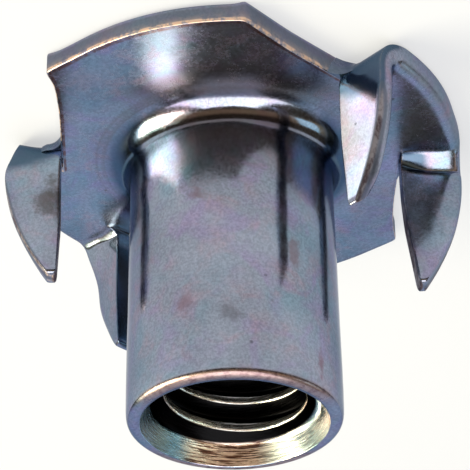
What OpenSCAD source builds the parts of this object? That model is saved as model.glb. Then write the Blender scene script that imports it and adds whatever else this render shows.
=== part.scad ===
// Four-prong tee nut, pressed from one piece of sheet steel.
// The flange lies on z = 0 with its outer face down, and the barrel and the prongs
// stand up from it. The two ears that carry the prongs point along +X and -X.

/* [Barrel] */
// Outside diameter of the barrel
barrel_d = 9.9; // [9.6:0.1:10.6]
// Overall length, from the outer face of the flange to the mouth of the barrel
length = 15.7; // [12:0.1:20]
// Radius of the drawn corner between the barrel and the flange
neck_r = 1.15; // [0.6:0.05:1.4]
// Rounding of the outside edge at the mouth
lip_r = 0.3; // [0.1:0.05:0.4]

/* [Bore] */
// Major diameter of the thread
thread_d = 7.94; // [7.6:0.01:8]
// Pitch of the thread
pitch = 1.411; // [1.25:0.001:1.5]
// Share of the full thread height that the tapped thread keeps
thread_share = 0.88; // [0.6:0.01:1]
// Diameter of the tapered opening at the mouth
mouth_d = 8.3; // [8.1:0.05:8.6]
// Depth of the tapered opening
mouth_depth = 0.7; // [0.3:0.05:1.5]
// Radius of the drawn lead-in at the outer face of the flange
lead_r = 1.1; // [0.5:0.05:1.4]

/* [Flange] */
// Diameter of the round blank
flange_d = 22.2; // [21.4:0.1:23]
// Thickness of the sheet
sheet = 1.15; // [1:0.05:1.3]
// Rounding of the rim on the outer face, left by the blanking die
rim_r = 0.3; // [0.1:0.05:0.4]
// Distance from the axis to the cuts that free the prongs
cut_dist = 8.32; // [8:0.02:8.6]
// Angle from the middle of an ear to the direction that each cut faces
cut_angle = 24.2; // [22:0.1:27]

/* [Prongs] */
// Height of the prong tips above the outer face of the flange
prong_h = 8.35; // [7:0.05:9]
// Inside radius of the fold at the root of a prong
fold_r = 0.62; // [0.4:0.02:1]
// How far a fold draws its outer end in from the round rim
fold_in = 0.03; // [0.02:0.01:0.2]
// Height at which a prong's inner edge starts to lean out towards its tip
lean_z = 4.9; // [3.5:0.1:5.5]
// Distance from the straight cut out to the middle of the tip
tip_offset = 0.52; // [0.4:0.02:0.8]
// Width of a prong where its tip begins
tip_w = 0.6; // [0.4:0.02:0.6]
// Rounding of the tip
tip_r = 0.34; // [0.33:0.01:0.4]
// Radius of the web between the end of a cut and the fold
web_r = 0.65; // [0.3:0.05:0.9]
// How far the web's top is drawn down below the flange's inner face
web_drop = 0.1; // [0.05:0.05:0.3]

/* [Hidden] */
$fn = 96;
steel = "#8d98b4";
spare = 1;                                       // how far a cutting shape runs past the metal
v_height = 1.0825;                               // both sides' depth of a full 60 degree thread, per pitch
neutral = 0.4;                                   // where a folded sheet keeps its length, from its inside
barrel_r = barrel_d / 2;
flange_r = flange_d / 2;
thread_r = thread_d / 2;
mouth_r = mouth_d / 2;
bore_r = microns(thread_r - v_height * thread_share * pitch / 2);
fold_out = fold_r + sheet;                       // outside radius of the fold
fold_half = microns(PI / 4 * (fold_r + neutral * sheet)); // half of the flat length that the fold takes up
fold_rise = fold_out - fold_half;                // what the fold adds to that flat length, up or along
fold_u = microns(sqrt(flange_r ^ 2 - fold_half ^ 2)) - fold_in; // outer end of the fold
tip = [cut_dist + tip_offset, prong_h - tip_r];  // centre of the tip's rounding
lean_d = norm(tip - [cut_dist, lean_z]);
lean_dir = atan2(tip[1] - lean_z, tip_offset) + asin(tip_w / 2 / lean_d);
tip_in = tip - [fold_u, fold_out];
edge_r = microns((tip_in * tip_in - tip_w ^ 2 / 4) / (-2 * tip_in[0] - tip_w)); // leaves tip_w at the tip
edge_c = [fold_u - edge_r, fold_out];            // centre of the curved edge, level with the fold's end
edge_dir = atan2(tip[1] - edge_c[1], tip[0] - edge_c[0]);

// Rounded to a whole micron, so that faces which meet do so exactly
function microns(x) = round(1000 * x) / 1000;

function point_at(from, angle, distance) = from + distance * [cos(angle), sin(angle)];

// The fillet between a wall that runs up from the origin and a floor that runs out from it
module fillet_section(r) {
    difference() {
        square(r);
        translate([r, r])
            circle(r = r);
    }
}

// Half-section of the sheet out to radius r, with the edge below it rounded
module rim_section(r) {
    difference() {
        square([r, sheet]);
        rim_corner(r);
    }
}

// What the rounding of that edge takes away
module rim_corner(r) {
    translate([r, 0])
        mirror([1, 0])
            fillet_section(rim_r);
}

// Repeats its children at the four cuts. There x runs out across the cut,
// y runs along the cut and away from the ear, and z is up.
module at_cuts() {
    for (ear = [0, 180])
        rotate([0, 0, ear]) {
            rotate([0, 0, cut_angle])
                children();
            mirror([0, 1, 0])
                rotate([0, 0, cut_angle])
                    children();
        }
}

// The round blank without the sheet that was folded up into the prongs.
// The rim runs straight and square into each fold.
module flange() {
    lean_top = point_at([cut_dist, lean_z - fold_rise], lean_dir, flange_r);
    difference() {
        rotate_extrude($fn = 180)
            rim_section(flange_r);
        at_cuts() {
            translate([0, 0, -spare])
                linear_extrude(sheet + 2 * spare)
                    polygon([
                        [cut_dist, -fold_half],
                        [cut_dist, lean_z - fold_rise],
                        lean_top,
                        [flange_r + spare, lean_top[1]],
                        [flange_r + spare, -fold_half]
                    ]);
            translate([0, -fold_half, 0])
                rotate([90, 0, 0])
                    linear_extrude(flange_r * sin(cut_angle)) {
                        rim_corner(fold_u);
                        translate([fold_u, -spare])
                            square(sheet + 2 * spare);
                    }
        }
    }
}

// The quarter turn from the ear up into a prong, about an axis across the cut
module at_fold() {
    translate([0, -fold_half, fold_out])
        rotate([0, 90, 0])
            rotate_extrude(angle = 90)
                children();
}

module fold() {
    at_fold()
        intersection() {
            translate([fold_r, cut_dist])
                square([sheet, fold_u - cut_dist]);
            translate([fold_out, 0])
                rotate(90)
                    rim_section(fold_u);
        }
}

// The sheet left in the corner between the end of a cut and the fold
module web() {
    intersection() {
        at_fold()
            translate([fold_out, cut_dist])
                fillet_section(web_r);
        translate([0, -flange_r, 0])
            cube([flange_r, 2 * flange_r, sheet - web_drop]);
    }
}

// The upright part of a prong: straight and then leaning inside, curved outside
module blade() {
    translate([0, fold_rise, 0])
        rotate([90, 0, 0])
            intersection() {
                translate(edge_c)
                    rotate_extrude($fn = 240)
                        rim_section(edge_r);
                linear_extrude(sheet)
                    intersection() {
                        polygon([
                            [cut_dist, fold_out],
                            [cut_dist, lean_z],
                            point_at([cut_dist, lean_z], lean_dir, prong_h),
                            [fold_u + spare, lean_z + prong_h],
                            [fold_u + spare, fold_out]
                        ]);
                        tip_outline();
                    }
            }
}

// All that lies below the round tip
module tip_outline() {
    translate(tip)
        circle(r = tip_r, $fn = 32);
    polygon([
        tip,
        point_at(tip, edge_dir, prong_h),
        [fold_u + prong_h, 0],
        [cut_dist - prong_h, 0],
        point_at(tip, lean_dir + 90, prong_h)
    ]);
}

module barrel() {
    rotate_extrude($fn = 120) {
        square([barrel_r, length - lip_r]);
        square([barrel_r - lip_r, length]);
        translate([barrel_r - lip_r, length - lip_r])
            circle(r = lip_r);
        translate([barrel_r, sheet])
            fillet_section(neck_r);
    }
}

// Everything that the bore takes out: the lead-in, the thread's core and the tapered mouth
module bore() {
    rotate_extrude($fn = 120) {
        translate([0, -spare])
            square([bore_r, length + 2 * spare]);
        translate([0, -spare])
            square([bore_r + lead_r, spare]);
        translate([bore_r, 0])
            fillet_section(lead_r);
        polygon([
            [0, length - mouth_depth - thread_r],
            [thread_r, length - mouth_depth],
            [mouth_r, length],
            [mouth_r, length + spare],
            [0, length + spare]
        ]);
    }
}

module tee_nut() {
    color(steel)
        difference() {
            union() {
                flange();
                barrel();
                at_cuts() {
                    fold();
                    web();
                    blade();
                }
            }
            bore();
        }
}

tee_nut();
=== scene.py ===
import bpy
import bmesh
import math
from mathutils import Matrix, Vector


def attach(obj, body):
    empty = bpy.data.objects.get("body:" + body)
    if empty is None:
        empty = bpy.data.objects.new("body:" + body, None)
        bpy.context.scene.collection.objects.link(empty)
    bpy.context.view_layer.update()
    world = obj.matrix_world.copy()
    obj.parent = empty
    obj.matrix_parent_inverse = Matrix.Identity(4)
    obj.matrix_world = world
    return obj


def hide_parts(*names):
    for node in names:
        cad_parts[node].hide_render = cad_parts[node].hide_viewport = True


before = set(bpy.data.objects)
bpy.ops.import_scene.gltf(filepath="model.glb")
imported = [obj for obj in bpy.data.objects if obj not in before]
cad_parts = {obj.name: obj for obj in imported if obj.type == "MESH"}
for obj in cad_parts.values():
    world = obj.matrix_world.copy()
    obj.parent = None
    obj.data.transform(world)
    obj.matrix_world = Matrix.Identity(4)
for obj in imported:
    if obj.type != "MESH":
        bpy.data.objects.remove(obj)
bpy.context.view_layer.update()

# The meshes are made in millimetres and scaled to metres at the end.
# The nut stands on its flange: outer face at z = 0, barrel and prongs up, ears along +X and -X.
# A quarter of it is drawn row by row and mirrored. Rows are named for where they run.
body = {
    "rim": 11.1, "sheet": 1.15, "length": 15.7, "barrel": 4.95,
    "cutDist": 8.32, "cutAngle": 24.2,  # the four cuts that free the prongs
    "leanHeight": 4.9, "leanDir": 85.97,  # where a cut turns outwards, and which way
    "leanReach": 3.14,
    "foldHalf": 0.848, "foldRise": 0.922, "foldOut": 1.77, "foldEnd": 11.038, "foldIn": 0.03,
    "edgeCentre": (-0.469, 1.77), "edgeRadius": 11.507,
    "tip": (8.84, 8.01), "tipRadius": 0.34, "tipThin": 0.25, "tipLeast": 0.02,
    "crisp": 0.11,  # how closely a sheared edge is held
    "narrowHold": 0.22, "narrowRoll": 0.3,  # a narrow section is held and rounded less
    "upperAt": (0.33, 0.5), "lowerAt": 0.45,  # points across the two faces of a section
    "rollEase": 0.25, "tornTop": 0.42, "tornFoot": 1.2, "burrIn": 0.015,
    "rolled": (0.5, 0.16, 0.46),  # roll-over of ears and prongs: in, down, along the wall
    "drawn": (0.4, 0.09, 0.4),  # lower edge of the lobes: up, in, in on the outer face
    "neckRadius": 1.3,
    "neckRise": ((8, 0), (7.2, 0.02), (6.6, 0.09), (6.25, 0.2)),  # the sheet swells towards the neck
    "lip": (0.36, 0.085),  # rounding of the mouth's edge, and its middle
    "rowAngle": 18, "rowWay": 0.34,  # from row to row of a fold: degrees, mm along the sheet
    "earSteps": (0, 0.25, 0.5, 0.75, 0.93, 1),
    "earWay": 4, "earWallBand": (-0.005, 0.05),
    "cutSteps": (-0.05, 0.8, 1.85, 2.95), "leanSteps": (0.34, 0.67, 0.9),
    "lobeSteps": (0.07, 0.25, 0.5, 0.75, 1), "cornerReach": 1.1,
    "holdNext": 2.4, "neckFirst": 7.7, "neckShare": 0.4,
    "barrelRows": (3.6, 6, 9, 12, 14.4), "mouthRows": (4.6, 4.53),
    "outerRows": (5.4, 4.7, 4.52), "outerShare": 0.5,
    "bladeRows": (1.88, 2.5, 3.3, 4.1, 4.9, 5.7, 6.5, 7.2, 7.75, 8.06, 8.24, 8.34), "bladeWay": 0.07,
    "tipGlintAbove": 8.3,
    "mergeWithin": 0.003, "mirrorWithin": 0.004,
    "earWallEnd": 18.55, "earWallIn": 0.01,  # the hidden wall between ear and flange ends at this angle
    "smoothLevels": 2,
}

quarterRows = 90 // body["rowAngle"]

# What the cage's marks carry. The burr and glint mark is gold above 0, partly burr and partly painted glint,
# and brown below it; sheared is torn metal from 0.35 up.
marked = {
    "edgeBurrGlint": 1, "insideBurr": -0.9, "wallBurrGlint": 0.12, "wallSheared": 0.25,
    "prongBurrGlint": 0.16, "tipGlint": 0.34, "earSheared": 0.1, "earEdge": 0.3,
    "tornFrom": 2.6,  # how far up a prong its torn edge begins
    "bendDepth": 0.3,  # share of the sheet on the outside of a fold, which gets painted dark teal shade
    "farBurrGlint": 0.3,  # the gold line, with its painted glint, and the brown line are fainter on the far half of the flange
}

# Each prong was pressed a little differently. Pairs are (way along the sheet from the ear, shift in mm).
# Coin flattens the inside of the fold, dish hollows the blade, twist turns it, lean tips it off the ear,
# rise draws it out, sag lets the fold down in its middle, and chamfer slants the tip. The last three keys
# give how far up the fold's painted dark teal shade runs, how much of the cut edges shows torn metal, and how
# much painted gold glint is kept on the tip, and on all the edges of a prong with no torn edge.
plainProng = {
    "outer": ((0, 0), (8.3, 0)), "inner": ((0, 0), (8.3, 0)),
    "coin": 0, "dish": 0, "twist": 0, "lean": 0, "rise": 0, "sag": 0, "chamfer": 0,
    "shadeReach": 1.9, "worn": 1, "glintShare": 0.5,
}
prongs = {
    "farRight": {**plainProng, "side": (-1, 1),
                 "outer": ((-2, 0), (0, 0.2), (1.7, 0.3), (5, 0.3), (8.3, 0.16)),
                 "inner": ((0, 0), (3, 0), (8.3, 0.26)),
                 "coin": 1, "dish": 0.03, "twist": -0.12, "lean": -0.09, "rise": 0.3, "glintShare": 0.3},
    "nearRight": {**plainProng, "side": (-1, -1), "rise": 0.24, "chamfer": 1.1, "shadeReach": 3.3, "glintShare": 0.9},
    "nearLeft": {**plainProng, "side": (1, -1),
                 "outer": ((-1, 0), (0, -0.5), (0.9, -0.62), (2.4, 0.05), (5, 0), (8.3, -0.17)),
                 "inner": ((0, 0), (3, 0), (8.3, -0.17)), "rise": -0.1, "sag": 0.3, "shadeReach": 2.2},
    "farLeft": {**plainProng, "side": (1, 1),
                "outer": ((-1, 0), (5, 0.1), (8.3, -0.35)), "inner": ((0, 0), (5, 0), (8.3, -0.35)),
                "coin": -0.1, "twist": 0.29, "rise": -0.4, "sag": -0.1, "worn": 0, "glintShare": 0.2},
}

# Where the press works, in mm along the sheet or shares of the width, and how much.
press = {
    "foldFrom": 0.3, "foldTo": 1.75,
    "coinSteps": (0, 0.1, 0.36, 0.64, 0.9, 1),  # where the rows of a coined fold lie along its flat
    "coinAway": 0.12, "coinUp": 0.1,  # how far a coined flat stands off the corner
    "coinFrom": 0.125, "coinRamp": 0.25,  # where across the fold it begins
    "coinDepth": 0.95, "coinFade": 0.6,  # it fades out through the sheet
    "flatDepth": 0.3, "flatOut": 0.3, "flatAt": 0.82, "flatWidth": 0.13,  # flat to near its outer end
    "sagFrom": 0.28, "sagTo": 0.95, "sagSharp": 5, "sagUp": 0.84, "sagAway": 0.55,
    "bladeFrom": 1.5, "bladeFade": 1.4, "leanFrom": 1.6, "dishSpan": 2.7,
    "riseFrom": 2, "riseSpan": 39, "chamferFrom": 6.3, "chamferFade": 1.9, "chamferCurve": 1.5,
    "glintShareFrom": 7,
    "shadeFade": 0.5, "shadeInner": 0.65,
    "coinShade": ((0.2, 1), (0.4, 0.85)),  # painted dark teal shade on a coined flat: up to here, how much
    "cleanFrom": 2, "cleanTo": 0.02,  # and painted shade on the inner wall of a blade with no torn edge
}

# Where the flange was pulled out of line: place, shift and reach in mm.
dents = [
    ((4.87, -9.98), (0.28, -0.11, 0), 0.9),
    ((-4.87, 9.98), (-0.16, 0.1, 0), 0.9),
    ((8.25, 2.85), (-0.03, 0.02, 0.2), 1.5),
]
dentHeight = 0.3  # dents reach this far above the sheet


def radius(v):
    return math.hypot(v.co.x, v.co.y)


def clamp(value):
    return max(0, min(1, value))


def between(pairs, at):
    if at <= pairs[0][0]:
        return pairs[0][1]
    for (a, low), (b, high) in zip(pairs, pairs[1:]):
        if at <= b:
            return low + (high - low) * (at - a) / (b - a)
    return pairs[-1][1]


def level(place, z):
    return Vector((place.x, place.y, z))


def polar(angle, r=1, z=0):
    return Vector((r * math.cos(angle), r * math.sin(angle), z))


# A place beside a cut that faces the given way: u out across it, s along it.
def cutPoint(angle, u, s, z):
    a = math.radians(angle)
    return Vector((u * math.cos(a) - s * math.sin(a), u * math.sin(a) + s * math.cos(a), z))


def onCircle(count, r, z):
    return [polar(math.pi / 2 * k / count, r, z) for k in range(count + 1)]


def drawRow(bm, places):
    row = [bm.verts.new(places[0])]
    for place in places[1:]:
        new = bmesh.ops.extrude_vert_indiv(bm, verts=[row[-1]])["verts"][0]
        new.co = place
        row.append(new)
    return row


def closeRow(bm, row):
    bm.edges.new((row[-1], row[0]))
    return row


# Extrudes a row to new places. Its marks start at 0.
def nextRow(bm, row, places, closed=False):
    pairs = zip(row, row[1:] + row[:1] if closed else row[1:])
    edges = [bm.edges.get(pair) for pair in pairs]
    made = set(g for g in bmesh.ops.extrude_edge_only(bm, edges=edges)["geom"]
               if isinstance(g, bmesh.types.BMVert))
    new = [next(e.other_vert(v) for e in v.link_edges if e.other_vert(v) in made) for v in row]
    for v, place in zip(new, places):
        v.co = place
        for layer in bm.verts.layers.float.values():
            v[layer] = 0
    return new


def mark(row, layer, value):
    for v in row:
        v[layer] = value


def allOf(bm):
    return bm.verts[:] + bm.edges[:] + bm.faces[:]


def openEdges(bm):
    return [e for e in bm.edges if e.is_boundary]


# Cuts the mesh along a height, and clears what lies below or above it if asked.
def cutLevel(bm, z, clear=None):
    bmesh.ops.bisect_plane(bm, geom=allOf(bm), plane_co=(0, 0, z), plane_no=(0, 0, 1),
                           clear_inner=clear == "below", clear_outer=clear == "above")


# Makes a whole of a quarter.
def mirrorTwice(bm, within):
    for axis in ("Y", "X"):
        bmesh.ops.mirror(bm, geom=allOf(bm), merge_dist=within, axis=axis)


def meshOf(bm, name):
    mesh = bpy.data.meshes.new(name)
    bm.to_mesh(mesh)
    bm.free()
    return mesh


def addObject(name, data):
    obj = bpy.data.objects.new(name, data)
    bpy.context.scene.collection.objects.link(obj)
    return obj


# A quarter of the flange's outline: place, way in, and whether its lower edge is drawn.
def outline():
    cut, h, turn = body["cutDist"], body["foldHalf"], body["cutAngle"]
    inwards = cutPoint(turn, -1, 0, 0)
    rows = [(cutPoint(turn * k, cut, -h * k, 0), cutPoint(turn * k, -1, 0, 0), False)
            for k in body["earSteps"]]
    leanS = body["leanHeight"] - body["foldRise"]
    for s in (*body["cutSteps"], leanS):  # along the cut
        rows.append((cutPoint(turn, cut, s, 0), inwards, False))
    lean, reach = math.radians(body["leanDir"]), body["leanReach"]
    for t in (*body["leanSteps"], 1):  # and out to the rim
        place = cutPoint(turn, cut + t * reach * math.cos(lean), leanS + t * reach * math.sin(lean), 0)
        rows.append((place, inwards, False))
    corner = rows.pop()[0]
    first = math.atan2(corner.y, corner.x)
    corner = polar(first) * body["rim"]
    rows.append((corner, (inwards - corner.normalized()).normalized() * body["cornerReach"], False))
    for step in body["lobeSteps"]:  # round the lobe
        way = polar(first + (math.pi / 2 - first) * step)
        rows.append((way * body["rim"], -way, True))
    return rows


def makeFlangeQuarter(bm, marks):
    sheet, hold, barrel, neck = body["sheet"], body["crisp"], body["barrel"], body["neckRadius"]
    rows = outline()
    count = len(rows) - 1
    ear = len(body["earSteps"]) - 1  # the ear runs on from these rows

    def inset(far, z):
        return [level(p + way * far, z) for p, way, drawn in rows]

    def towards(ring, share, z):
        return [level((p + way * hold).lerp(q, share), z) for (p, way, drawn), q in zip(rows, ring)]

    edge = drawRow(bm, inset(0, sheet))
    mark(edge[ear:], marks["burr"], marked["edgeBurrGlint"])
    # over the top, up the barrel and round its lip
    inner = nextRow(bm, edge, inset(hold, sheet))
    mark(inner[ear:], marks["burr"], marked["insideBurr"])
    inner = nextRow(bm, inner, inset(hold * body["holdNext"], sheet))
    ring = onCircle(count, body["neckRise"][0][0], sheet)
    inner = nextRow(bm, inner, towards(ring, body["neckShare"], sheet))
    for r, rise in body["neckRise"][:-1]:
        inner = nextRow(bm, inner, onCircle(count, min(r, body["neckFirst"]), sheet + rise))
    foot = sheet + body["neckRise"][-1][1]
    for k in range(quarterRows + 1):
        a = math.radians(body["rowAngle"] * k)
        r, z = barrel + neck * (1 - math.sin(a)), foot + neck * (1 - math.cos(a))
        inner = nextRow(bm, inner, onCircle(count, r, z))
    top, (lip, middle) = body["length"], body["lip"]
    places = [(barrel, z) for z in (*body["barrelRows"], top - lip)]
    places += [(barrel - middle, top - middle), (barrel - lip, top)] + [(r, top) for r in body["mouthRows"]]
    for r, z in places:
        inner = nextRow(bm, inner, onCircle(count, r, z))
        mark(inner, marks["lip"], 1 if z > top - lip else 0)
    # down the edge and in across the outer face
    up, inside, under = body["drawn"]
    outer = nextRow(bm, edge, inset(0, sheet - hold))
    mark(outer[ear:], marks["burr"], marked["wallBurrGlint"])
    mark(outer, marks["sheared"], marked["wallSheared"])
    outer = nextRow(bm, outer, [level(p, up if drawn else hold) for p, way, drawn in rows])
    mark(outer, marks["sheared"], marked["wallSheared"])
    outer = nextRow(bm, outer, [level(p + way * (inside if drawn else 0), inside if drawn else 0)
                                for p, way, drawn in rows])
    outer = nextRow(bm, outer, [level(p + way * (under if drawn else hold), 0) for p, way, drawn in rows])
    outer = nextRow(bm, outer, towards(onCircle(count, body["outerRows"][0], 0), body["outerShare"], 0))
    for r in body["outerRows"]:
        outer = nextRow(bm, outer, onCircle(count, r, 0))


# The sheet's section from its inner to its outer edge: (u, depth from the outer face, burr and painted glint,
# fracture).
# Thick draws both faces in.
def section(inner, outer, thick=1):
    sheet, (fullRoll, down, wall) = body["sheet"], body["rolled"]
    wide = outer - inner
    hold = min(body["crisp"], wide * body["narrowHold"])
    roll = min(fullRoll, wide * body["narrowRoll"])
    small = roll / fullRoll
    pts = [(inner, sheet, 1, 0), (inner + hold, sheet, 0, 0)]
    pts += [(inner + wide * share, sheet, 0, 0) for share in body["upperAt"]]
    pts += [(outer - roll, sheet, 0, 0), (outer - roll * body["rollEase"], sheet - down * small, 0, 0),
            (outer, sheet - wall * small, 0, 0), (outer, sheet * body["tornTop"], 0, 0.3),
            (outer, hold * body["tornFoot"], 0, 1), (outer - body["burrIn"], 0, 0.5, 0.5),
            (outer - hold, 0, 0, 0), (inner + wide * body["lowerAt"], 0, 0, 0), (inner + hold, 0, 0, 0),
            (inner, 0, 0, 0), (inner, hold, 0, 1), (inner, sheet - hold, 0, 1)]
    low = (1 - thick) * sheet / 2
    return [(u, low + n * thick, burr, torn) for u, n, burr, torn in pts]


# Half an ear, its fold and its prong: one section drawn along the sheet and up to the tip.
def makeProng(bm, marks):
    cut, h, turn, sheet = body["cutDist"], body["foldHalf"], body["cutAngle"], body["sheet"]
    fo, end = body["foldOut"], body["foldEnd"]
    ring = None

    def addSection(ring, pts, where, way, goldGlint=0):
        places = [where(u, n) for u, n, burr, torn in pts]
        ring = nextRow(bm, ring, places, True) if ring else closeRow(bm, drawRow(bm, places))
        low, high = min(pt[0] for pt in pts), max(pt[0] for pt in pts)
        for v, (u, n, burr, torn) in zip(ring, pts):
            v[marks["way"]] = way
            v[marks["across"]] = (u - low) / (high - low)
            # the gold line is partly burr and partly painted glint
            v[marks["burr"]] = max(burr * marked["prongBurrGlint"] if way > press["foldFrom"] else 0, goldGlint)
            if way > 0:
                v[marks["sheared"]] = torn * clamp(way - marked["tornFrom"])
            elif u > high - marked["earEdge"]:
                v[marks["sheared"]] = marked["earSheared"]
            # the outside of a fold is marked for painted dark teal shade
            v[marks["bend"]] = 1 if way > 0 and n < sheet * marked["bendDepth"] else 0
        return ring

    for k in body["earSteps"]:
        out = math.sqrt(body["rim"] ** 2 - (h * k) ** 2) - body["foldIn"] * k * k
        ring = addSection(ring, section(cut, out), lambda u, n: cutPoint(turn * k, u, -h * k, n),
                          -body["earWay"] * (1 - k) - 0.001)  # never 0, which is the flange
    for k in range(1, quarterRows + 1):
        t = math.radians(body["rowAngle"] * k)
        ring = addSection(ring, section(cut, end), lambda u, n: cutPoint(
            turn, u, (fo - n) * math.sin(t) - h, fo - (fo - n) * math.cos(t)), body["rowWay"] * k)
    ec, er = body["edgeCentre"], body["edgeRadius"]
    tipU, tipZ = body["tip"]
    slope = 1 / math.tan(math.radians(body["leanDir"]))
    for z in body["bladeRows"]:
        inner = cut + max(0, z - body["leanHeight"]) * slope
        outer = ec[0] + math.sqrt(er ** 2 - (z - ec[1]) ** 2)
        thick = 1
        if z > tipZ:
            half = math.sqrt(max(body["tipRadius"] ** 2 - (z - tipZ) ** 2, body["tipLeast"]))
            inner = max(inner, tipU - half)
            outer = min(outer, tipU + half)
            thick = 1 - body["tipThin"] * ((z - tipZ) / body["tipRadius"]) ** 3
        # near the tip the rings carry painted gold glint
        ring = addSection(ring, section(inner, outer, thick), lambda u, n: cutPoint(turn, u, fo - n - h, z),
                          z - body["bladeWay"], marked["tipGlint"] if z > body["tipGlintAbove"] else 0)
    bmesh.ops.contextual_create(bm, geom=ring)


# How far the press moved one point of a fold. Deep is its depth below the inside of the fold.
def foldMove(prong, out, away, way, across, s, z, deep):
    up, sheet, reach = Vector((0, 0, 1)), body["sheet"], body["foldOut"] - body["sheet"]
    row = way / body["rowWay"]
    t, flat = math.radians(row * body["rowAngle"]), press["coinSteps"][round(row)]
    coin = prong["coin"] * clamp((press["coinDepth"] - deep) / press["coinFade"]) * clamp(
        (across - press["coinFrom"]) / press["coinRamp"])
    move = (away * press["coinAway"] + up * press["coinUp"]) * coin
    if prong["coin"] > 0 and deep < press["flatDepth"]:
        move += out * press["flatOut"] * max(0, 1 - abs(across - press["flatAt"]) / press["flatWidth"])
    move += away * coin * (reach * flat + deep * math.sin(t) - s)
    move += up * coin * (sheet + reach * flat - deep * math.cos(t) - z)
    sharp = press["sagSharp"]
    sag = prong["sag"] * clamp(sharp * (across - press["sagFrom"])) * clamp(sharp * (press["sagTo"] - across))
    move += (up * press["sagUp"] - away * press["sagAway"]) * sag * math.sin(
        math.pi * min(1, way / press["foldTo"]))
    return move


# How much painted dark teal shade one point of the sheet gets: all of the fold's outside, and the inside of a
# coined one.
def foldShadeOf(prong, way, across, deep, was):
    if prong["worn"] == 0 and way > press["cleanFrom"] and across < press["cleanTo"]:
        return 1
    if prong["coin"] > 0 and deep < press["flatDepth"]:
        for end, much in press["coinShade"]:
            if across < end:
                return much
    if was > 0:
        inner, fade = press["shadeInner"], press["shadeFade"]
        return min(1, way / fade, max(0, (prong["shadeReach"] * (inner + (1 - inner) * across) + fade - way)))
    return was


# Gives each prong, ear and corner the small differences that the press left.
def bendProngs(bm, marks):
    cut, sheet, fo, h = (body[name] for name in ("cutDist", "sheet", "foldOut", "foldHalf"))
    turn = math.radians(body["cutAngle"])
    for prong in prongs.values():
        sx, sy = prong["side"]
        out = Vector((sx * math.cos(turn), sy * math.sin(turn), 0))
        away = Vector((-sx * math.sin(turn), sy * math.cos(turn), 0))
        for v in bm.verts:
            way, across = v[marks["way"]], v[marks["across"]]
            if way == 0 or v.co.x * sx < 0 or v.co.y * sy < 0:
                continue
            u, s, z, deep = out.dot(v.co) - cut, away.dot(v.co) + h, v.co.z, 1
            move = Vector()
            if press["foldFrom"] < way < press["foldTo"]:
                deep = math.hypot(s, fo - z) - (fo - sheet)
                move += foldMove(prong, out, away, way, across, s, z, deep)
            shift = (1 - across) * between(prong["inner"], way) + across * between(prong["outer"], way)
            move += (out if way > 0 else level(v.co, 0).normalized()) * shift
            fade = clamp((way - press["bladeFrom"]) / press["bladeFade"])
            move += away * (prong["dish"] * u * max(u, 0) / press["dishSpan"] + prong["twist"] * u) * fade
            move += away * prong["lean"] * max(0, z - fo) * (1 if way > press["leanFrom"] else 0)
            move.z += prong["rise"] * max(0, way - press["riseFrom"]) ** 2 / press["riseSpan"]
            slant = max(0, (fo - s) / sheet) ** press["chamferCurve"]
            move.z -= prong["chamfer"] * slant * clamp((way - press["chamferFrom"]) / press["chamferFade"])
            v.co += move
            v[marks["sheared"]] *= prong["worn"]
            v[marks["burr"]] *= prong["glintShare"] if way > press["glintShareFrom"] or prong["worn"] == 0 else 1
            # how much painted fold shade this point gets
            v[marks["bend"]] = foldShadeOf(prong, way, across, deep, v[marks["bend"]])
    # the gold line with its painted glint is fainter on the far half of the flange
    for v in bm.verts:
        if v[marks["way"]] == 0 and v.co.y > 0:
            v[marks["burr"]] *= marked["farBurrGlint"]
    for spot, shift, wide in dents:
        for v in bm.verts:
            far = math.hypot(v.co.x - spot[0], v.co.y - spot[1]) / wide
            if far < 1 and v.co.z < sheet + dentHeight:
                v.co += Vector(shift) * (1 - far * far) ** 2


webs = {
    "radius": 0.75, "inset": 0.05,
    "foot": ((0.2, -0.1), (0.45, -0.36), (0.45, -0.55)),  # past the arc and below the fold's side
    "turn": 88, "steps": 22, "arcStep": 10, "belowTop": 0.004,
    "sharpFrom": 35, "foldShade": 0.42, "mirrorWithin": 0.0001,
}


# The saddle of sheet in the corner between the end of a cut and the fold.
def addWebs(bm):
    cut, fo, h = (body[name] for name in ("cutDist", "foldOut", "foldHalf"))
    wide, start = webs["radius"], cut - webs["inset"]
    part = bmesh.new()
    places = [(start, fo + wide)]
    places += [(cut + wide - wide * math.cos(math.radians(a)), fo + wide - wide * math.sin(math.radians(a)))
               for a in range(0, 91, webs["arcStep"])]
    places += [(cut + wide + over, fo + down) for over, down in webs["foot"]]
    places += [(start, fo + webs["foot"][-1][1])]
    closeRow(part, drawRow(part, [Vector((u, -h, fo - r)) for u, r in places]))
    bmesh.ops.spin(part, geom=part.verts[:] + part.edges[:], cent=(0, -h, fo), axis=(1, 0, 0),
                   angle=math.radians(webs["turn"]), steps=webs["steps"], use_merge=False)
    cutLevel(part, 0, "below")
    cutLevel(part, body["sheet"] - webs["belowTop"], "above")
    bmesh.ops.holes_fill(part, edges=openEdges(part), sides=0)
    bmesh.ops.recalc_face_normals(part, faces=part.faces)
    turned = Matrix.Rotation(math.radians(body["cutAngle"]), 3, "Z")
    bmesh.ops.rotate(part, verts=part.verts, cent=(0, 0, 0), matrix=turned)
    mirrorTwice(part, webs["mirrorWithin"])
    bmesh.ops.recalc_face_normals(part, faces=part.faces)
    part.normal_update()
    for e in part.edges:
        e.smooth = e.is_manifold and e.calc_face_angle(0) < math.radians(webs["sharpFrom"])
    print("  webs: open edges", len([e for e in part.edges if not e.is_manifold]), "faces", len(part.faces))
    # painted shade: the webs get some of the folds' dark teal
    mark(part.verts, part.verts.layers.float.new("bend"), webs["foldShade"])
    bm.from_mesh(meshOf(part, "webs"))


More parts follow.
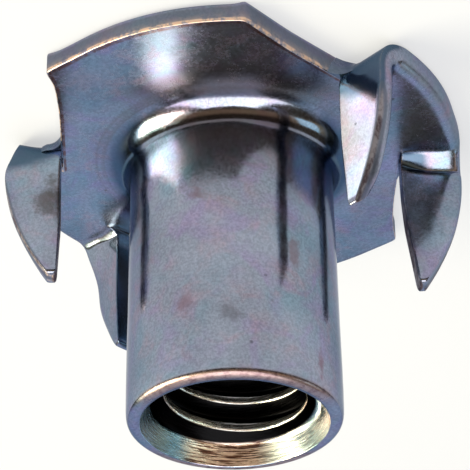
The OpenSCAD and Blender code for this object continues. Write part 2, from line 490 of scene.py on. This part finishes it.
def makeBody():
    bm = bmesh.new()
    marks = {name: bm.verts.layers.float.new(name)
             for name in ("burr", "sheared", "lip", "bend", "way", "across")}
    makeFlangeQuarter(bm, marks)
    makeProng(bm, marks)
    bm.normal_update()
    cut, within = body["cutDist"], body["mergeWithin"]

    def onEarWall(v):
        low, high = body["earWallBand"]
        return low < radius(v) - cut < high and math.atan2(v.co.y, v.co.x) < math.radians(body["earWallEnd"])

    hidden = [f for f in bm.faces if all(onEarWall(v) for v in f.verts)
              and body["earWallIn"] < f.calc_center_median().z < body["sheet"] - body["earWallIn"]]
    bmesh.ops.delete(bm, geom=hidden, context="FACES")
    bmesh.ops.remove_doubles(bm, verts=bm.verts, dist=within)
    mirrorTwice(bm, body["mirrorWithin"])
    bmesh.ops.remove_doubles(bm, verts=bm.verts, dist=within)
    bmesh.ops.recalc_face_normals(bm, faces=bm.faces)
    print("  hidden walls", len(hidden), "open edges", len(openEdges(bm)), "faces", len(bm.faces))
    bendProngs(bm, marks)
    return bm


# Makes the cage smooth; its marks are smoothed with it.
def subdivided(bm):
    cage = addObject("cage", meshOf(bm, "cage"))
    smooth = cage.modifiers.new("smooth", "SUBSURF")
    smooth.levels = smooth.render_levels = body["smoothLevels"]
    bpy.context.view_layer.update()
    fine = bpy.data.meshes.new_from_object(cage.evaluated_get(bpy.context.evaluated_depsgraph_get()))
    out = bmesh.new()
    out.from_mesh(fine)
    bpy.data.objects.remove(cage)
    return out


thread = {
    "pitch": 1.411, "minor": 3.298, "major": 3.97, "columns": 168,
    "crestLand": 0.3, "rootLand": 0.2, "flankSteps": (0.25, 0.5, 0.75),
    "crestSteps": ((0.054, 0), (0.126, 0.004), (0.18, 0.035)),  # up from a crest's middle, and out
    "rootSteps": ((-0.02, 0.05), (0.04, 0.008)),  # up from a flank's end, and short of the root
    "spareTurns": (3, 2),  # turned below and above before the ends are cut
    "crestHeight": 1.225,  # height of a crest at +X, within one pitch
    "mouthR": 4.38, "mouthDepth": 0.98, "leadR": 1.1,
    "runOut": 2.5,  # the last turn opens into the mouth at this slope
    "extraRows": (0.01, 0.03, 0.06, 0.1, 0.16, 0.24, 0.34, 15, 15.68),  # where the ends need more rows
    "mergeWithin": 0.002, "joinWithin": 0.1,
}


# One pitch of the profile as (height, radius), from the middle of a crest up.
def threadProfile():
    pitch, minor, major, land = (thread[name] for name in ("pitch", "minor", "major", "crestLand"))
    flank = (pitch - land - thread["rootLand"]) / 2
    steps = [(up, minor + out) for up, out in thread["crestSteps"]]
    steps += [(land / 2 + flank * k, minor + (major - minor) * k) for k in thread["flankSteps"]]
    steps += [(land / 2 + flank + up, major - short) for up, short in thread["rootSteps"]]
    steps.append((pitch / 2, major))
    return steps + [(pitch - h, r) for h, r in reversed(steps[:-1])] + [(pitch, minor)]


# The least radius of the bore at a height: the drawn lead-in, the core, and the tapered mouth.
def leastRadius(z):
    minor, major, lead, slope = (thread[name] for name in ("minor", "major", "leadR", "runOut"))
    top = body["length"] - thread["mouthDepth"]
    if z > top:
        return major + (thread["mouthR"] - major) * (z - top) / thread["mouthDepth"]
    if z > top - (major - minor) / slope:
        return major - slope * (top - z)
    if z < lead:
        return minor + lead - math.sqrt(lead ** 2 - (lead - z) ** 2)
    return minor


# The tapped wall: one column of the thread, screwed round the axis and cut level at both ends.
def makeBore():
    pitch, length = thread["pitch"], body["length"]
    bm = bmesh.new()
    below, above = thread["spareTurns"]
    z = thread["crestHeight"] - below * pitch
    last = bm.verts.new((thread["minor"], 0, z))
    for turn in range(int(length / pitch) + below + above):
        for h, r in threadProfile():
            new = bmesh.ops.extrude_vert_indiv(bm, verts=[last])["verts"][0]
            new.co = (r, 0, z + turn * pitch + h)
            last = new
    bmesh.ops.spin(bm, geom=bm.verts[:] + bm.edges[:], cent=(0, 0, 0), axis=(0, 0, 1),
                   dvec=(0, 0, pitch / thread["columns"]), angle=math.tau, steps=thread["columns"],
                   use_merge=False)
    bmesh.ops.remove_doubles(bm, verts=bm.verts, dist=thread["mergeWithin"])
    cutLevel(bm, 0, "below")
    cutLevel(bm, length, "above")
    for z in thread["extraRows"]:
        cutLevel(bm, z)
    for v in bm.verts:
        least, r = leastRadius(max(v.co.z, 0)), radius(v)
        if r < least:
            v.co.x *= least / r
            v.co.y *= least / r
    return bm


# Joins the tapped wall to the body at both rims.
def joinBore(bm, bore):
    outside, within = len(bm.faces), thread["joinWithin"]
    bm.from_mesh(meshOf(bore, "bore"))
    bm.faces.ensure_lookup_table()
    for f in bm.faces[outside:]:
        f.material_index = 1
    loose = openEdges(bm)
    for end in (0, body["length"]):
        rim = [e for e in loose if all(abs(v.co.z - end) < within for v in e.verts)]
        bmesh.ops.bridge_loops(bm, edges=rim)


mouth = {
    "wallFrom": 4.5, "wallTo": 5.6, "from": 3,  # only the barrel, above its neck
    "swell": 0.008, "swellSteps": ((3, 9), (9, 14)),
    "raisedBetween": (13.6, 15.2), "raised": 0.2,
    "tilt": 0.0283, "tiltDir": (0.38, 0.92),  # mm per mm, lower towards this side
}


def ramp(value, low, high):
    t = clamp((value - low) / (high - low))
    return t * t * (3 - 2 * t)


# The barrel widens a little towards its mouth, and the mouth is not quite square.
def bellMouth(bm):
    x, y = mouth["tiltDir"]
    for v in bm.verts:
        r, z = radius(v), v.co.z
        if r > mouth["wallTo"] or z < mouth["from"]:
            continue
        if r > mouth["wallFrom"]:
            swell = 1
            for low, high in mouth["swellSteps"]:
                swell += mouth["swell"] * ramp(z, low, high)
            v.co.x *= swell
            v.co.y *= swell
        tilt = mouth["tilt"] * (x * v.co.x + y * v.co.y)
        v.co.z += ramp(z, *mouth["raisedBetween"]) * (mouth["raised"] - tilt)


def finishMesh(bm, name):
    bmesh.ops.recalc_face_normals(bm, faces=bm.faces)
    print("  open edges", len(openEdges(bm)), "triangles", sum(len(f.verts) - 2 for f in bm.faces))
    for layer in ("way", "across"):
        bm.verts.layers.float.remove(bm.verts.layers.float[layer])
    bmesh.ops.scale(bm, vec=(0.001, 0.001, 0.001), verts=bm.verts)
    mesh = meshOf(bm, name)
    mesh.shade_smooth()
    return addObject(name, mesh)


print("body")
bm = subdivided(makeBody())
addWebs(bm)
print("bore")
joinBore(bm, makeBore())
bellMouth(bm)
nut = finishMesh(bm, "teeNutSteel")
weighted = nut.modifiers.new("weighted", "WEIGHTED_NORMAL")
weighted.mode = "FACE_AREA"
weighted.weight = 60
weighted.keep_sharp = True
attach(nut, "root")
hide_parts("tee_nut")


def newGroup(name, inputs, outputs):
    tree = bpy.data.node_groups.new(name, "ShaderNodeTree")
    for way, sockets in (("INPUT", inputs), ("OUTPUT", outputs)):
        for kind, labels in sockets.items():
            for label in labels:
                tree.interface.new_socket(label, in_out=way, socket_type="NodeSocket" + kind)
    return tree, tree.nodes.new("NodeGroupInput").outputs, tree.nodes.new("NodeGroupOutput").inputs


# Adds a node. Its inputs are linked, or set to a number, vector or colour.
def addNode(tree, kind, inputs, **settings):
    node = tree.nodes.new("ShaderNode" + kind)
    for key, setting in settings.items():
        setattr(node, key, setting)
    for key, value in inputs.items():
        socket = node.inputs[key]
        if hasattr(value, "is_output"):
            tree.links.new(value, socket)
        elif isinstance(value, tuple):
            socket.default_value = (*value, 1)[:len(socket.default_value)]
        else:
            socket.default_value = value
    return node.outputs


def noiseOf(tree, vector, scale, detail=2, rough=0.5, warp=0):
    return addNode(tree, "TexNoise", {"Vector": vector, "Scale": scale, "Detail": detail,
                                      "Roughness": rough, "Distortion": warp})["Fac"]


# A soft step from one value to the other.
def stepOf(tree, value, low, high, toLow=0, toHigh=1):
    return addNode(tree, "MapRange", {"Value": value, "From Min": low, "From Max": high, "To Min": toLow,
                                      "To Max": toHigh}, interpolation_type="SMOOTHSTEP")["Result"]


def mathOf(tree, how, result, *others):
    for value in others:
        result = addNode(tree, "Math", {0: result, 1: value}, operation=how)[0]
    return result


def times(tree, *values):
    return mathOf(tree, "MULTIPLY", *values)


def plus(tree, *values):
    return mathOf(tree, "ADD", *values)


def larger(tree, *values):
    return mathOf(tree, "MAXIMUM", *values)


# The product of soft steps that are kept in a dictionary, each under its name and At: from, to, and the
# value before and after it where they aren't 0 and 1.
def maskOf(tree, kept, **values):
    return times(tree, *(stepOf(tree, value, *kept[name + "At"]) for name, value in values.items()))


def mixOf(tree, factor, a, b):
    return addNode(tree, "Mix", {0: factor, 6: a, 7: b}, data_type="RGBA")[2]


def vectorOf(tree, how, *vectors):
    out = addNode(tree, "VectorMath", dict(enumerate(vectors)), operation=how)
    return out["Value" if how in ("LENGTH", "DOT_PRODUCT") else "Vector"]


def splitOf(tree, vector):
    return addNode(tree, "SeparateXYZ", {0: vector})


# Distance from the axis.
def axisOf(tree, spot):
    return vectorOf(tree, "LENGTH", vectorOf(tree, "MULTIPLY", spot, (1, 1, 0)))


# Distance towards one side, given as the x and y of its direction.
def sideOf(tree, spot, way):
    apart = splitOf(tree, spot)
    return plus(tree, times(tree, apart["X"], way[0]), times(tree, apart["Y"], way[1]))


def attribute(tree, name):
    return addNode(tree, "Attribute", {}, attribute_name=name)["Fac"]


def bumpOf(tree, height, distance):
    return addNode(tree, "Bump", {"Height": height, "Distance": distance, "Strength": 1})["Normal"]


def useGroup(tree, group, **given):
    return addNode(tree, "Group", {key.capitalize(): value for key, value in given.items()}, node_tree=group)


# Zinc plating. Noises are scale, detail, roughness and distortion.
film = {
    "wide": (330, 3, 0.55, 0.6), "small": (700, 3, 0.6, 0.4), "fine": (7500, 2, 0.7),
    "other": (520, 2, 0.5, 1), "grey": (210, 2, 0.5, 0.3),
    "blotches": (("wide", "Teal", 0.42, 0.72), ("other", "Violet", 0.42, 0.74),
                 ("small", "Rose", 0.46, 0.78)),
    "grainAt": (0.3, 0.7, -1, 1), "greyAt": (0.3, 0.7, 0.88, 1.12),
    "speckScale": 1300, "speckAt": (0.16, 0.07), "speckPatches": (500, 1), "speckPatchAt": (0.6, 0.66),
    "speck": (0.03, 0.03, 0.035), "roughAt": (0.3, 0.7, 0.12, 0.19), "grainRough": 0.03, "speckRough": 0.3,
    "dentAt": (0.2, 0.8), "wideDents": 0.35, "fineDents": 0.05,
}


# Blotches of tint, fine grain, dark specks, and shallow dents from the tumbling.
def makeFilmGroup():
    tree, given, out = newGroup(
        "zincFilm",
        {"Vector": ("Vector",), "Color": ("Plain", "Teal", "Violet", "Rose"),
         "Float": ("Tint", "Grain", "Specks", "Dents")},
        {"Color": ("Colour",), "Float": ("Rough", "Height")})
    spot = given["Vector"]
    noises = {name: noiseOf(tree, spot, *film[name]) for name in ("wide", "small", "fine", "other", "grey")}
    colour = given["Plain"]
    for noise, tint, low, high in film["blotches"]:
        much = times(tree, stepOf(tree, noises[noise], low, high), given["Tint"])
        colour = mixOf(tree, much, colour, given[tint])
    grain = maskOf(tree, film, grain=noises["fine"])
    light = plus(tree, times(tree, grain, given["Grain"]), maskOf(tree, film, grey=noises["grey"]))
    cells = addNode(tree, "TexVoronoi", {"Vector": spot, "Scale": film["speckScale"]})["Distance"]
    patches = noiseOf(tree, spot, *film["speckPatches"])
    speck = maskOf(tree, film, speck=cells, speckPatch=patches)
    speck = times(tree, speck, given["Specks"])
    colour = vectorOf(tree, "MULTIPLY", colour, light)
    tree.links.new(mixOf(tree, speck, colour, film["speck"]), out["Colour"])
    rough = plus(tree, maskOf(tree, film, rough=noises["small"]), times(tree, grain, film["grainRough"]),
                 times(tree, speck, film["speckRough"]))
    tree.links.new(rough, out["Rough"])
    height = plus(tree, times(tree, noises["wide"], film["wideDents"]),
                  times(tree, noises["fine"], film["fineDents"]),
                  maskOf(tree, film, dent=noises["grey"]))
    tree.links.new(times(tree, height, given["Dents"]), out["Height"])
    return tree


# Bare torn metal: brown and straw streaks across the sheet, from two noises and a step.
tear = {"fine": (3200, 4, 0.65, 0.3), "wide": (1300, 2, 0.5), "share": 0.5, "lightAt": (0.42, 0.58)}


def makeTornGroup():
    tree, given, out = newGroup("tornSteel", {"Vector": ("Vector",), "Color": ("Light", "Dark")},
                                {"Color": ("Colour",), "Float": ("Height",)})
    fine, wide = (noiseOf(tree, given["Vector"], *tear[name]) for name in ("fine", "wide"))
    streaks = maskOf(tree, tear, light=times(tree, plus(tree, fine, wide), tear["share"]))
    tree.links.new(mixOf(tree, streaks, given["Dark"], given["Light"]), out["Colour"])
    tree.links.new(fine, out["Height"])
    return tree


# Steps follow a mark of the cage, or a height, radius or distance in metres. Near and left are directions
# in x and y: towards the side that shows most, and across it.
zinc = {
    "specularTint": (0.5, 0.54, 0.62), "near": (-0.38, -0.92), "left": (0.925, -0.38),
    "plain": (0.255, 0.285, 0.36), "teal": (0.165, 0.275, 0.35), "violet": (0.27, 0.22, 0.38),
    "rose": (0.34, 0.25, 0.31),
    "tint": 0.65, "grain": 0.16, "specks": 0.5, "dents": 1, "dentHeight": 0.00002,
    # cut edges: a gold line, partly burr and partly painted glint, with a brown line beside it, torn metal,
    # and a grey wall
    "burr": (0.8, 0.57, 0.43), "burrAt": (0.03, 0.32), "burrBreaksAt": (0.4, 0.56, 0.15, 0.95),
    "burrDark": (0.16, 0.08, 0.07), "darkAt": (-0.12, -0.42), "darkBreaksAt": (0.62, 0.42, 0.3, 0.9),
    "tornLight": (0.36, 0.33, 0.35), "tornDark": (0.1, 0.065, 0.07), "tornAt": (0.35, 0.85),
    "tornShare": 0.9, "tornRough": 0.25, "tornHeight": 1.5,
    "wall": (0.1, 0.115, 0.15), "wallAt": (0.12, 0.24, 0, 0.65), "wallDullAt": (0.02, 0.1, 0, 0.18),
    # the lip is rubbed bare at its near and far ends
    "lip": (0.36, 0.26, 0.25), "lipDark": (0.17, 0.09, 0.1), "lipAt": (0.2, 0.8), "lipShare": 0.9,
    "lipNearAt": (0.0012, 0.0034), "lipFarAt": (-0.0022, -0.0034), "lipBreaksAt": (0.3, 0.6),
    "bareRough": 0.17,
    # painted shade: dark teal on the outside of the folds and in a few other places
    "bend": (0.04, 0.085, 0.135), "bendAt": (0.05, 0.75), "bendShare": 0.85,
    # rings round the neck, on the sheet only
    "ring": (0.15, 0.13, 0.125), "ringOuterAt": (0.0072, 0.0066), "ringInnerAt": (0.0061, 0.0063),
    "ringAt": (0.3, 0.66, 0.4, 0), "ringTopAt": (0.0016, 0.0013), "ringWaver": 0.0004,
    # painted shade: the near side of the neck is darkened brown, and the sheet in front of it too
    "nearShade": (0.075, 0.055, 0.055), "burntLowAt": (0.00172, 0.0019), "burntTopAt": (0.00262, 0.00236),
    "burntFadeAt": (0.0058, 0.0034, 0, 0.55), "burntNearAt": (0.0036, 0.0046, 0, 0.75),
    "burntEndAt": (0.0068, 0.0064),
    "sheetShade": (0.13, 0.1, 0.085), "bloomNearAt": (0.0046, 0.0062), "bloomOuterAt": (0.0084, 0.007),
    "bloomTopAt": (0.0016, 0.0014, 0, 0.6),
    # painted shade: its two ends, left and right, get the folds' painted dark teal
    "endAt": (0.004, 0.0047, 0, 0.8), "endTopAt": (0.005, 0.0032), "endLowAt": (0.00125, 0.0015),
    "endOuterAt": (0.0066, 0.006),
    "flangeDullAt": (0.0015, 0.0012, 0, 0.09),  # the flange is a little duller
    # patches of tone: place, half-widths, strength, colour
    "stains": (
        # two dark patches on the near left prong's face
        ((0.00766, -0.0049, 0.0041), (0.0007, 0.0012, 0.0011), 0.7, (0.07, 0.065, 0.06)),
        ((0.00755, -0.00485, 0.0034), (0.0004, 0.0009, 0.001), 0.5, (0.08, 0.075, 0.07)),
        # painted shade: a dark patch on the far right prong's inner face
        ((-0.0089, 0.0044, 0.0046), (0.0006, 0.0012, 0.0026), 0.5, (0.05, 0.055, 0.06)),
        # stains on the near side of the barrel
        ((-0.00413, -0.00273, 0.0094), (0.0003, 0.0004, 0.0011), 0.6, (0.16, 0.1, 0.12)),
        ((-0.00023, -0.00494, 0.0063), (0.0005, 0.0002, 0.0004), 0.6, (0.17, 0.1, 0.12)),
        ((0.00027, -0.00494, 0.0122), (0.0004, 0.0002, 0.0005), 0.5, (0.15, 0.1, 0.13)),
        ((-0.00175, -0.00463, 0.013), (0.0007, 0.0003, 0.0006), 0.5, (0.1, 0.1, 0.12)),
        ((-0.00475, -0.00139, 0.0146), (0.0002, 0.0003, 0.0008), 0.6, (0.2, 0.09, 0.12)),
    ),
    "stainAt": (2.5, 1.7), "stainRagged": 2.6,
    # noises
    "breaks": (2400, 3, 0.7), "ragged": (1100, 5, 0.7), "ringWaves": (90,), "ringLines": (5200, 2, 0.6),
}


def startMaterial(name):
    material = bpy.data.materials.new(name)
    material.use_nodes = True
    tree = material.node_tree
    shader = tree.nodes["Principled BSDF"].inputs
    shader["Metallic"].default_value = 1
    shader["Specular Tint"].default_value = (*zinc["specularTint"], 1)
    spot = tree.nodes.new("ShaderNodeTexCoord").outputs["Object"]
    return material, tree, shader, spot


# Fine rings that the drawing die left round the neck.
def ringsOf(tree, spot, r, z):
    waver = times(tree, noiseOf(tree, spot, *zinc["ringWaves"]), zinc["ringWaver"])
    lines = noiseOf(tree, addNode(tree, "CombineXYZ", {0: r, 1: waver})[0], *zinc["ringLines"])
    return maskOf(tree, zinc, ringOuter=r, ringInner=r, ring=lines, ringTop=z)


# Where the near side of the neck gets painted brown shade.
def nearShadeOf(tree, near, z):
    high = larger(tree, maskOf(tree, zinc, burntTop=z), maskOf(tree, zinc, burntFade=z))
    return times(tree, high, maskOf(tree, zinc, burntLow=z, burntNear=near, burntEnd=near))


# A soft-edged patch of tone.
def stainOf(tree, spot, where, size, ragged):
    ratio = vectorOf(tree, "DIVIDE", vectorOf(tree, "SUBTRACT", spot, where), size)
    far = plus(tree, vectorOf(tree, "LENGTH", ratio), times(tree, ragged, zinc["stainRagged"]))
    return maskOf(tree, zinc, stain=far)


def zincMaterial(filmGroup, tornGroup):
    material, tree, shader, spot = startMaterial("zincSteel")
    given = ("plain", "teal", "violet", "rose", "tint", "grain", "specks", "dents")
    plate = useGroup(tree, filmGroup, vector=spot, **{name: zinc[name] for name in given})
    rip = useGroup(tree, tornGroup, vector=spot, light=zinc["tornLight"], dark=zinc["tornDark"])
    sheared, burr, lip, bend = (attribute(tree, name) for name in ("sheared", "burr", "lip", "bend"))
    broken, ragged = noiseOf(tree, spot, *zinc["breaks"]), noiseOf(tree, spot, *zinc["ragged"])
    near, left = sideOf(tree, spot, zinc["near"]), sideOf(tree, spot, zinc["left"])
    r, z = axisOf(tree, spot), splitOf(tree, spot)["Z"]

    # on the plating: painted fold shade, rings, cut walls, painted shade round the neck, and patches of tone
    foldShade = times(tree, maskOf(tree, zinc, bend=bend), zinc["bendShare"])
    sheetShade = maskOf(tree, zinc, bloomNear=near, bloomOuter=r, bloomTop=z)
    # painted shade at the left and right ends of the neck
    sideShade = maskOf(tree, zinc, end=mathOf(tree, "ABSOLUTE", left, 0), endTop=z, endLow=z, endOuter=r)
    colour = mixOf(tree, foldShade, plate["Colour"], zinc["bend"])
    colour = mixOf(tree, ringsOf(tree, spot, r, z), colour, zinc["ring"])
    colour = mixOf(tree, maskOf(tree, zinc, wall=sheared), colour, zinc["wall"])
    # painted shade on the near side of the neck, then on the sheet in front of it
    colour = mixOf(tree, nearShadeOf(tree, near, z), colour, zinc["nearShade"])
    colour = mixOf(tree, sheetShade, colour, zinc["sheetShade"])
    colour = mixOf(tree, sideShade, colour, zinc["bend"])
    for where, size, strength, tone in zinc["stains"]:
        colour = mixOf(tree, times(tree, stainOf(tree, spot, where, size, ragged), strength), colour, tone)

    # through it: torn metal, the rubbed lip, and the two edge lines, a brown burr line and a gold line that
    # is partly burr and partly painted glint
    torn = times(tree, maskOf(tree, zinc, torn=sheared), zinc["tornShare"])
    rubbed = larger(tree, maskOf(tree, zinc, lipNear=near), maskOf(tree, zinc, lipFar=near))
    worn = times(tree, maskOf(tree, zinc, lip=lip), rubbed)
    goldGlint = maskOf(tree, zinc, burr=burr, burrBreaks=broken)
    brown = maskOf(tree, zinc, dark=burr, darkBreaks=broken)
    bare = mixOf(tree, maskOf(tree, zinc, lipBreaks=broken), zinc["lipDark"], zinc["lip"])
    colour = mixOf(tree, torn, colour, rip["Colour"])
    colour = mixOf(tree, times(tree, worn, zinc["lipShare"]), colour, bare)
    colour = mixOf(tree, brown, colour, zinc["burrDark"])
    colour = mixOf(tree, goldGlint, colour, zinc["burr"])
    tree.links.new(colour, shader["Base Color"])

    rough = plus(tree, plate["Rough"], maskOf(tree, zinc, flangeDull=z), maskOf(tree, zinc, wallDull=sheared),
                 times(tree, torn, zinc["tornRough"]),
                 times(tree, larger(tree, goldGlint, worn), zinc["bareRough"]))
    tree.links.new(rough, shader["Roughness"])
    height = plus(tree, plate["Height"], times(tree, rip["Height"], torn, zinc["tornHeight"]))
    tree.links.new(bumpOf(tree, height, zinc["dentHeight"]), shader["Normal"])
    return material


# The tapped wall and the turned mouth. Left and right are across the near view.
# Painted shade: the thread is near black between its crests, the crests darken deeper in the bore,
# and the thread's reflections are tinted near black. Painted reflections: light patches on the mouth's
# right, left and far right. The turned lines are tool marks.
bore = {
    "crest": (0.86, 0.85, 0.83), "root": (0.0035, 0.0035, 0.004), "right": (-0.925, 0.38),
    "crestAt": (0.00337, 0.00331), "crestFadeAt": (0.01, 0.0135, 0.25, 1),
    "mouthAt": (0.01474, 0.01486), "mouthLight": (0.95, 0.78, 0.7), "mouthDark": (0.15, 0.065, 0.05),
    "mouthRightReflection": (0.86, 0.88, 0.9), "mouthRightReflectionAt": (0.0013, 0.0024, 0, 0.85),
    "mouthLeftReflection": (0.4, 0.72, 0.95), "mouthLeftReflectionAt": (-0.0014, -0.0025, 0, 0.9),
    "mouthEndReflection": (0.34, 0.52, 0.62), "mouthEndReflectionAt": (0.0034, 0.0042, 0, 0.9),
    "mouthWaves": (1200,), "mouthWaver": 0.001,
    "lines": (900, 3, 0.6), "lineSquash": (1, 1, 22), "lineAt": (0.42, 0.56),
    "lineRoughAt": (0.3, 0.7, 0.2, 0.32), "lineHeight": 0.00001,
}


def boreMaterial():
    material, tree, shader, spot = startMaterial("tappedSteel")
    z = splitOf(tree, spot)["Z"]
    squashed = addNode(tree, "Mapping", {"Vector": spot, "Scale": bore["lineSquash"]})[0]
    lines = noiseOf(tree, squashed, *bore["lines"])
    # painted shade: the crests darken deeper in the bore
    crest = maskOf(tree, bore, crest=axisOf(tree, spot), crestFade=z)
    waver = times(tree, noiseOf(tree, spot, *bore["mouthWaves"]), bore["mouthWaver"])
    side = plus(tree, sideOf(tree, spot, bore["right"]), waver)
    turned = mixOf(tree, maskOf(tree, bore, line=lines), bore["mouthDark"], bore["mouthLight"])
    # painted reflections: light patches on the mouth's right, left and far right
    for part in ("mouthRightReflection", "mouthLeftReflection", "mouthEndReflection"):
        turned = mixOf(tree, maskOf(tree, bore, **{part: side}), turned, bore[part])
    mouthMask = maskOf(tree, bore, mouth=z)
    colour = mixOf(tree, mouthMask, mixOf(tree, crest, bore["root"], bore["crest"]), turned)
    tree.links.new(colour, shader["Base Color"])
    # painted shade: the thread's reflections are tinted near black
    tree.links.new(mixOf(tree, mouthMask, bore["root"], bore["mouthLight"]), shader["Specular Tint"])
    tree.links.new(maskOf(tree, bore, lineRough=lines), shader["Roughness"])
    tree.links.new(bumpOf(tree, lines, bore["lineHeight"]), shader["Normal"])
    return material


print("materials")
nut.data.materials.append(zincMaterial(makeFilmGroup(), makeTornGroup()))
nut.data.materials.append(boreMaterial())

# Place in mm. The lens comes from a focal length of 2344.15 in a frame of 470.
camera = {
    "place": (-36.109, -87.479, 67.31), "view": (0.318457, 0.774443, -0.546647),
    "up": (-0.207895, -0.505571, -0.837363), "right": (-0.924859, 0.38031, 0),
    "roll": -0.01488, "sensor": 36, "focal": 2344.15, "frame": 470, "clipStart": 0.005,
}


def makeCamera():
    data = bpy.data.cameras.new("camera")
    data.sensor_width = camera["sensor"]
    data.lens = camera["sensor"] * camera["focal"] / camera["frame"]
    data.clip_start = camera["clipStart"]
    c, s = math.cos(camera["roll"]), math.sin(camera["roll"])
    right, up, view = Vector(camera["right"]), Vector(camera["up"]), Vector(camera["view"])
    turned = Matrix((c * right + s * up, c * up - s * right, -view)).transposed().to_4x4()
    turned.translation = Vector(camera["place"]) * 0.001
    obj = addObject("camera", data)
    obj.matrix_world = turned
    bpy.context.scene.camera = obj


# A soft room: light on the far side, brown and dim on the near side.
studio = {
    "floorSize": 0.6, "floorColour": (0.19, 0.2, 0.22), "floorRough": 0.9, "floorGlow": 0.58,
    "farSky": (0.63, 0.73, 0.88), "nearSky": (0.72, 0.52, 0.31), "lowSky": (0.1, 0.075, 0.05),
    "farSide": (75, 12), "farAt": (0.42, 0.8),  # azimuth and elevation of the far side's middle
    "nearLowAt": (0.28, 0.5), "nearTopAt": (0.58, 0.72),  # the near side's glow lies between these heights
    # azimuth, elevation, distance, width, height, radiance, colour
    "lamps": {
        "sideBox": (-27, 38, 0.3, 0.21, 0.16, 16.5, (1, 0.87, 0.6)),
        "sideGlow": (-27, 34, 0.33, 0.42, 0.22, 1.6, (0.85, 1, 0.7)),
        "topBox": (-112, 80, 0.3, 0.24, 0.31, 3.9, (1, 0.97, 0.92)),
        "rightBox": (161, 31, 0.3, 0.12, 0.09, 1.5, (0.4, 0.8, 1)),
    },
}


def skyPoint(azimuth, elevation):
    a, e = math.radians(azimuth), math.radians(elevation)
    return Vector((math.cos(a) * math.cos(e), math.sin(a) * math.cos(e), math.sin(e)))


def makeFloor():
    bm = bmesh.new()
    bmesh.ops.create_grid(bm, x_segments=1, y_segments=1, size=studio["floorSize"])
    floor = addObject("floor", meshOf(bm, "floor"))
    material = bpy.data.materials.new("paleFloor")
    material.use_nodes = True
    tree = material.node_tree
    shader = tree.nodes["Principled BSDF"].inputs
    shader["Base Color"].default_value = (*studio["floorColour"], 1)
    shader["Roughness"].default_value = studio["floorRough"]
    shader["Specular IOR Level"].default_value = 0
    shader["Emission Color"].default_value = (1, 1, 1, 1)
    path = tree.nodes.new("ShaderNodeLightPath").outputs
    seen = larger(tree, path["Is Glossy Ray"], path["Is Transmission Ray"], path["Is Camera Ray"])
    tree.links.new(times(tree, seen, studio["floorGlow"]), shader["Emission Strength"])
    floor.data.materials.append(material)


def makeWorld():
    world = bpy.data.worlds.new("studio")
    bpy.context.scene.world = world
    world.use_nodes = True
    tree = world.node_tree
    where = tree.nodes.new("ShaderNodeTexCoord").outputs["Generated"]
    far = vectorOf(tree, "DOT_PRODUCT", where, skyPoint(*studio["farSide"]))
    z = splitOf(tree, where)["Z"]
    near = mixOf(tree, maskOf(tree, studio, nearLow=z), studio["lowSky"], studio["nearSky"])
    near = mixOf(tree, maskOf(tree, studio, nearTop=z), near, studio["lowSky"])
    sky = mixOf(tree, maskOf(tree, studio, far=far), near, studio["farSky"])
    tree.links.new(sky, tree.nodes["Background"].inputs["Color"])


def softbox(name, azimuth, elevation, distance, width, height, radiance, colour):
    data = bpy.data.lights.new(name, "AREA")
    data.shape = "RECTANGLE"
    data.size, data.size_y = width, height
    data.energy = radiance * width * height * math.pi  # watts that give this radiance
    data.color = colour
    place = distance * skyPoint(azimuth, elevation)
    obj = addObject(name, data)
    obj.location = place
    obj.rotation_euler = (-place).to_track_quat("-Z", "Y").to_euler()


print("camera and lights")
makeCamera()
makeFloor()
makeWorld()
for name, values in studio["lamps"].items():
    softbox(name, *values)
bpy.context.scene.view_settings.view_transform = "Standard"
